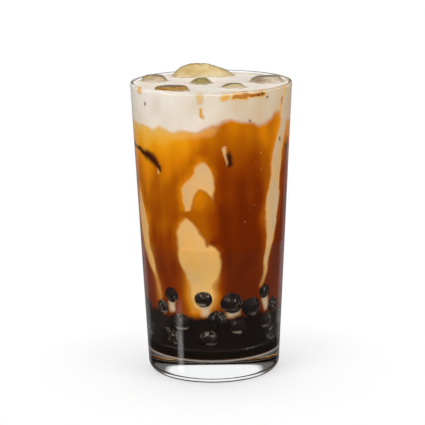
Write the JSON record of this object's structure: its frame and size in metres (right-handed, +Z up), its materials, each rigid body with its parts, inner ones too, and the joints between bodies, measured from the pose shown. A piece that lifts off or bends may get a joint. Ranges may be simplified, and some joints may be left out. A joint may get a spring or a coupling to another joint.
{
  "type": "bubble tea in a glass",
  "caption": "Iced bubble tea in a tall plain glass: a layer of milk over brown tea, dark tapioca pearls below and ice on top",
  "frame": {"origin": "middle of the foot of the glass, on the surface that it stands on", "axes": "+Z up along the glass's axis; -Y to the front, the side with the low milk line at the left; +X to the right seen from the front"},
  "size_m": [0.084, 0.084, 0.1593],
  "materials": {
    "clear_glass": "clear pressed glass, smooth and bright",
    "pearl": "cooked tapioca, nearly black brown, wet and glossy",
    "tea": "amber to dark brown tea with pale streams of milk in it",
    "milk": "cream-coloured milk with a few tea stains",
    "ice": "wet melting ice, cloudy and tinted by the tea"
  },
  "bodies": {
    "root": {"glass": "clear_glass", "pearl_heap": "pearl", "tea": "tea", "milk": "milk", "ice_back": "ice", "ice_left": "ice", "ice_front": "ice", "ice_middle": "ice", "ice_front_right": "ice", "ice_right": "ice"}
  },
  "joints": []
}
